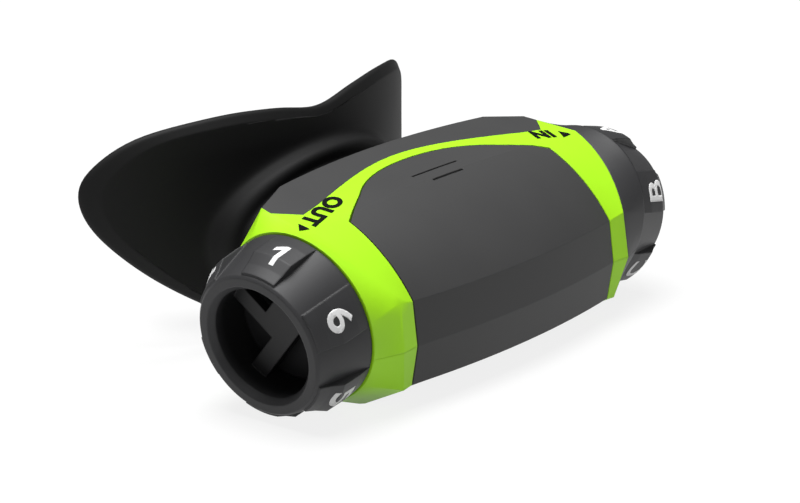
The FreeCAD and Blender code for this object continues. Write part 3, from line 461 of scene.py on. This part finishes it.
# %% Dial marks
LOBE_LEAD, LOBE_STEP, MARK_HEIGHT = 8.0, 60, 5.9
DIAL_SLOPE, OVER_DIAL, DIAL_STRIP = 0.12, 19, 0.45
MARK_UP_THE_DIAL = {"out_dial": 6.9, "in_dial": 6.0}
MARK_WIDTH = {"A": 5.9, "B": 4.8, "C": 5.2, "D": 5.0, "E": 4.3, "F": 4.2}
DIGIT_WIDTH, ONE_WIDTH = 4.7, 2.7
PLAIN_ONE = ((0.1, -0.5), (0.5, -0.5), (0.5, 0.5), (0.18, 0.5), (-0.5, 0.3), (-0.5, 0.08),
             (0.1, 0.24))
for side, body, text in ((-1, "out_dial", "165432"), (1, "in_dial", "ABCDEF")):
    outward = Vector((side * math.cos(DROOP), 0, -math.sin(DROOP)))
    top = Vector((side * math.sin(DROOP), 0, math.cos(DROOP)))
    front = Vector((0, -1, 0))
    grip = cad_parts[body + "_grip"]
    for k, sign in enumerate(text):
        angle = math.radians(90 - LOBE_LEAD - LOBE_STEP * k)
        radial = front * math.cos(angle) + top * math.sin(angle)
        middle = Vector((side * BARREL_HALF, 0, AXIS_HEIGHT)) + outward * MARK_UP_THE_DIAL[body]
        if sign == "1":
            mark = flat_shape(body + "_mark_1", PLAIN_ONE, ONE_WIDTH, MARK_HEIGHT)
        else:
            width = MARK_WIDTH.get(sign, DIGIT_WIDTH)
            mark = letters(body + "_mark_" + sign, sign, MARK_HEIGHT, width)
        cut_in_strips(mark, DIAL_STRIP * MM)
        slope = (radial + outward * DIAL_SLOPE).normalized()
        up = -(outward - slope * outward.dot(slope))
        right = up.cross(slope)
        wrap(mark, grip, frame_at(middle + radial * OVER_DIAL, right, up), body, white_ink)

# %% [markdown]
# The words on the collars are black on lime and read for the person who breathes
# through the trainer. They lean with the band, and a small triangle points at the
# setting on the dial. They are printed as the dials' marks are, a little proud of the
# shell, because the band under them is slightly bowed.

# %% Words and triangles on the collars
# Each word with its side, its middle in plan, its width and its lean in degrees
WORDS = (("OUT", -1, (-35.7, 3.4), 15.4, 16), ("IN", 1, (38.1, 2.6), 5.2, 20))
WORD_HEIGHT, WORD_SPACING, WORD_WEIGHT = 3.8, 1.08, 0.05
OVER_COLLAR, COLLAR_STRIP, COLLAR_PROUD = 45, 0.4, 0.12
POINTERS = {"out": ((-46.9, 0.1), (-44.4, -0.5), (-44.4, 2.4)),
            "in": ((44.2, -0.6), (42.9, 1.9), (41.3, -0.8))}
for word, side, centre, width, degrees in WORDS:
    lean = math.radians(degrees)
    right = Vector((-math.cos(lean), side * math.sin(lean), 0))
    up = Vector((0, 0, 1)).cross(right)
    mark = letters("word_" + word.lower(), word, WORD_HEIGHT, width, WORD_SPACING, WORD_WEIGHT)
    cut_in_strips(mark, COLLAR_STRIP * MM)
    wrap(mark, shells["frame_upper"], frame_at((*centre, OVER_COLLAR), right, up),
         "airflow_unit", black_ink, height=COLLAR_PROUD)
for name, corners in POINTERS.items():
    pointer = flat_shape("pointer_" + name, corners)
    cut_in_strips(pointer, COLLAR_STRIP * MM)
    wrap(pointer, shells["frame_upper"], frame_at((0, 0, OVER_COLLAR), (1, 0, 0), (0, 1, 0)),
         "airflow_unit", black_ink, height=COLLAR_PROUD)
print("words and triangles:", len(WORDS) + len(POINTERS))

# %% [markdown]
# The mouthpiece is one silicone moulding. It is built as a long tube of rings about
# the mouth's axis: up the neck, over the raised lip, out across the shield, round its
# thick rolled margin, back behind it and in along the mouth tube. Sculpting would give
# softer forms, but rings keep the wall's thickness in hand. The shield's edge is a smooth
# curve through a few points, and lies on a cylinder that bends round the face.

# %% Rings of the mouthpiece
MOUTH_RISE = 3.3
MOUTH_HEIGHT = AXIS_HEIGHT + MOUTH_RISE
SHIELD_FRONT, SHIELD_RADIUS, SHIELD_THICKNESS = 32.4, 77.0, 2.6
ROOT_WIDTH, ROOT_HEIGHT = 32.4, 18.4
SEGMENTS = 96
OUTLINE = [(0, 27.8), (12.6, 29.7), (26.2, 30.2), (41.3, 27.9), (49.2, 22.7), (52.3, 16.3),
           (49.7, 7.4), (40.3, -3.2), (26.2, -12.7), (13.1, -16.7), (0, -17.6)]


def shield_outline(angle):
    """The point (x, z) of the shield's edge that lies at an angle about the mouth's axis."""
    corners = [(x, z - MOUTH_RISE) for x, z in OUTLINE]
    corners += [(-x, z) for x, z in reversed(corners[1:-1])]
    turns = [math.atan2(z, x) for x, z in corners]
    count = len(corners)
    for k in range(count):
        start, end = turns[k], turns[(k + 1) % count]
        span = (start - end) % (2 * math.pi)
        share = ((start - angle) % (2 * math.pi)) / span
        if share <= 1:
            before, first, second, after = (corners[(k + n) % count] for n in (-1, 0, 1, 2))
            square, cube = share ** 2, share ** 3
            return tuple(0.5 * (2 * b + (c - a) * share + (2 * a - 5 * b + 4 * c - d) * square
                                + (3 * b - a - 3 * c + d) * cube)
                         for a, b, c, d in zip(before, first, second, after))
    raise ValueError("no outline at that angle")


def shield_depth(x):
    """How far back the shield's front face lies, at a distance from the middle."""
    return SHIELD_FRONT + SHIELD_RADIUS - math.sqrt(SHIELD_RADIUS ** 2 - x ** 2)


def oval_ring(half_width, half_height, depth, follow=0.0):
    """A ring about the mouth's axis, flat or following the shield's curve by a share."""
    ring = []
    for k in range(SEGMENTS):
        angle = math.pi / 2 - 2 * math.pi * k / SEGMENTS
        x, z = half_width * math.cos(angle), half_height * math.sin(angle)
        ring.append((x, depth + follow * (shield_depth(x) - SHIELD_FRONT), MOUTH_HEIGHT + z))
    return ring


def shield_ring(share, depth, inset=0.0):
    """A ring on the shield, a share of the way from its root's oval to its edge."""
    ring = []
    for k in range(SEGMENTS):
        angle = math.pi / 2 - 2 * math.pi * k / SEGMENTS
        oval_x, oval_z = ROOT_WIDTH * math.cos(angle), ROOT_HEIGHT * math.sin(angle)
        edge_x, edge_z = shield_outline(math.atan2(oval_z, oval_x))
        reach = math.hypot(edge_x, edge_z)
        edge_x, edge_z = edge_x * (1 - inset / reach), edge_z * (1 - inset / reach)
        x, z = oval_x + (edge_x - oval_x) * share, oval_z + (edge_z - oval_z) * share
        ring.append((x, shield_depth(x) + depth, MOUTH_HEIGHT + z))
    return ring


rings = [
    # The neck: its end, its outside and its raised band
    oval_ring(22.7, 9.2, 21.8), oval_ring(24.9, 11.4, 21.75), oval_ring(25.5, 12.0, 22.2),
    oval_ring(25.9, 12.5, 25), oval_ring(26.3, 12.9, 27.6, 0.2), oval_ring(26.5, 13.1, 28.9, 0.5),
    oval_ring(27.0, 13.6, 29.2, 0.7), oval_ring(28.2, 14.8, 28.7, 0.8),
    oval_ring(29.3, 15.9, 28.7, 0.9), oval_ring(30.1, 16.7, 29.3, 1),
    oval_ring(30.4, 17.0, 30.6, 1), oval_ring(30.8, 17.4, 31.8, 1),
    # Out over the shield's front face
    oval_ring(31.8, 18.3, 32.3, 1), shield_ring(0.06, 0), shield_ring(0.35, 0),
    shield_ring(0.6, 0), shield_ring(0.8, 0),
    # Round the rolled margin
    shield_ring(1, 0.0, 3.2), shield_ring(1, 0.0, 2.75), shield_ring(1, 0.1, 2.5),
    shield_ring(1, 0.75, 1.1), shield_ring(1, 1.0, 0.5), shield_ring(1, 1.6, 0.1),
    shield_ring(1, 2.4, 0.15), shield_ring(1, 3.0, 0.9), shield_ring(1, 3.0, 2.2),
    shield_ring(1, 2.7, 3.6),
    # In along the back of the shield
    shield_ring(0.8, SHIELD_THICKNESS), shield_ring(0.5, SHIELD_THICKNESS),
    shield_ring(0.2, SHIELD_THICKNESS), oval_ring(26, 13.5, 35.0, 1),
    # The mouth tube behind, and the lip guard at its end
    oval_ring(20.6, 9.8, 35.4, 1), oval_ring(19.2, 8.5, 36.6, 0.6), oval_ring(19, 8.3, 40),
    oval_ring(19, 8.3, 45.5), oval_ring(19.4, 8.6, 47.3), oval_ring(21, 9.6, 48),
    oval_ring(25.6, 11.8, 48), oval_ring(26.8, 12.6, 48.5), oval_ring(27, 12.8, 49),
    oval_ring(26.8, 12.6, 49.6), oval_ring(25.6, 11.8, 50), oval_ring(19.2, 8.2, 50),
    oval_ring(17.4, 6.7, 49.8),
    # Back through the mouth tube to the neck
    oval_ring(17, 6.3, 49.2), oval_ring(17, 6.3, 42), oval_ring(17, 6.3, 31),
    oval_ring(17.4, 6.6, 30.0), oval_ring(21.6, 8.3, 29.9), oval_ring(22.5, 9.0, 29.6),
    oval_ring(22.5, 9.0, 26),
]
print("rings:", len(rings))

# %% [markdown]
# The moulding itself starts as one circle. Extruding one ring at a time and moving each
# new ring into its place keeps every quad in line for the subdivision that follows. The
# last ring is bridged to the first inside the neck, so the skin closes on itself.

# %% The moulding from one circle
bpy.ops.object.select_all(action="DESELECT")
bpy.ops.mesh.primitive_circle_add(vertices=SEGMENTS, radius=0.02, fill_type="NOTHING")
mouthpiece = bpy.context.object
mouthpiece.name = "silicone_mouthpiece"
for vertex, point in zip(mouthpiece.data.vertices, rings[0]):
    vertex.co = Vector(point) * MM
for ring in rings[1:]:
    bpy.ops.object.mode_set(mode="EDIT")
    bpy.ops.mesh.extrude_edges_move()
    bpy.ops.object.mode_set(mode="OBJECT")
    fresh = [v for v in mouthpiece.data.vertices if v.select]
    for vertex, point in zip(fresh, ring):
        vertex.co = Vector(point) * MM
bpy.ops.object.mode_set(mode="EDIT")
bpy.ops.mesh.select_all(action="DESELECT")
bpy.ops.mesh.select_mode(type="EDGE")
bpy.ops.mesh.select_non_manifold()
bpy.ops.mesh.bridge_edge_loops()
bpy.ops.object.mode_set(mode="OBJECT")

# %% [markdown]
# Two small tabs behind the mouth tube are held between the teeth. Each is a bevelled
# block that is joined to the moulding; a boolean would fuse the skins, but it would
# break up the even quads.

# %% Bite tabs
TAB_OUT, TAB_HALF, TAB_HALF_THICK, TAB_FROM, TAB_TO, TAB_ROUND = 22, 5, 1.6, 49.2, 61, 1.3
for side in (-1, 1):
    bpy.ops.object.select_all(action="DESELECT")
    bpy.ops.mesh.primitive_cube_add(size=1)
    tab = bpy.context.object
    low = Vector((side * TAB_OUT - TAB_HALF, TAB_FROM, MOUTH_HEIGHT - TAB_HALF_THICK)) * MM
    high = Vector((side * TAB_OUT + TAB_HALF, TAB_TO, MOUTH_HEIGHT + TAB_HALF_THICK)) * MM
    tab.data.transform(Matrix.Translation((low + high) / 2) @ Matrix.Diagonal((*(high - low), 1)))
    bpy.ops.object.mode_set(mode="EDIT")
    bpy.ops.mesh.select_all(action="SELECT")
    bpy.ops.mesh.bevel(offset=TAB_ROUND * MM, segments=3)
    bpy.ops.object.mode_set(mode="OBJECT")
    tab.select_set(True)
    mouthpiece.select_set(True)
    bpy.context.view_layer.objects.active = mouthpiece
    bpy.ops.object.join()

# %% Smooth it, and let it stand for the CAD node
alone(mouthpiece)
bpy.ops.object.mode_set(mode="EDIT")
bpy.ops.mesh.select_all(action="SELECT")
bpy.ops.mesh.normals_make_consistent(inside=False)
bpy.ops.object.mode_set(mode="OBJECT")
smooth = mouthpiece.modifiers.new("smooth", "SUBSURF")
smooth.levels = smooth.render_levels = 1
bpy.ops.object.modifier_apply(modifier="smooth")
bpy.ops.object.shade_smooth()
mouthpiece.data.materials.clear()
mouthpiece.data.materials.append(silicone)
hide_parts("mouthpiece")
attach(mouthpiece, "mouthpiece")
print("mouthpiece faces:", len(mouthpiece.data.polygons))

# %% [markdown]
# The photograph has a white ground and soft light from above. The floor takes the
# lamps' light and keeps the shadow, and a share of it glows for the camera, so that
# it reads as white without more light on the object.

# %% Floor
FLOOR_GREY, GLOW_STRENGTH, GLOW_SHARE = 0.5, 1.2, 0.7
bpy.ops.object.select_all(action="DESELECT")
bpy.ops.mesh.primitive_plane_add(size=6, location=(0, 0, 0))
floor = bpy.context.object
floor.name = "floor"
paper = bpy.data.materials.new("white_paper")
paper.use_nodes = True
tree = paper.node_tree
output = tree.nodes["Material Output"]
tree.nodes.remove(tree.nodes["Principled BSDF"])
camera_ray = node(tree, "ShaderNodeLightPath", output="Is Camera Ray")
seen = camera_ray.math("MAXIMUM", camera_ray.other("Is Glossy Ray"))
seen = seen.math("MAXIMUM", camera_ray.other("Is Transmission Ray"))
matt = node(tree, "ShaderNodeBsdfDiffuse", inputs={"Color": (FLOOR_GREY,) * 3 + (1,)})
glow = node(tree, "ShaderNodeEmission", inputs={"Color": (1, 1, 1, 1), "Strength": GLOW_STRENGTH})
ground = node(tree, "ShaderNodeMixShader", inputs={0: seen * GLOW_SHARE, 1: matt, 2: glow})
tree.links.new(ground.socket, output.inputs["Surface"])
floor.data.materials.append(paper)

# %% [markdown]
# One broad lamp overhead lights the top facets, a weak one in front lifts the dial's
# face, and a dim white sky fills the rest. The sky is white to the camera alone. Brighter
# lamps would also whiten the ground, but then the dark plastic would turn grey.

# %% Lamps and sky
SKY = 0.12
world = bpy.context.scene.world or bpy.data.worlds.new("studio")
bpy.context.scene.world = world
world.use_nodes = True
tree = world.node_tree
sky = tree.nodes["Background"]
camera_ray = node(tree, "ShaderNodeLightPath", output="Is Camera Ray")
tree.links.new((camera_ray * (1 - SKY) + SKY).socket, sky.inputs["Strength"])
sky.inputs["Color"].default_value = (1, 1, 1, 1)


def lamp(name, location, target, size, power):
    """A square area lamp that looks at a target, in metres and watts."""
    bpy.ops.object.light_add(type="AREA", location=location)
    made = bpy.context.object
    made.name = name
    made.data.size = size
    made.data.energy = power
    direction = Vector(target) - Vector(location)
    made.rotation_mode = "QUATERNION"
    made.rotation_quaternion = direction.to_track_quat("-Z", "Y")
    return made


lamp("overhead", (-0.05, 0.05, 0.9), (0, 0, 0), 0.6, 12.0)
lamp("front_left", (-0.9, -0.5, 0.5), (0, 0, 0.02), 0.5, 0.6)
bpy.context.scene.view_settings.view_transform = "Standard"
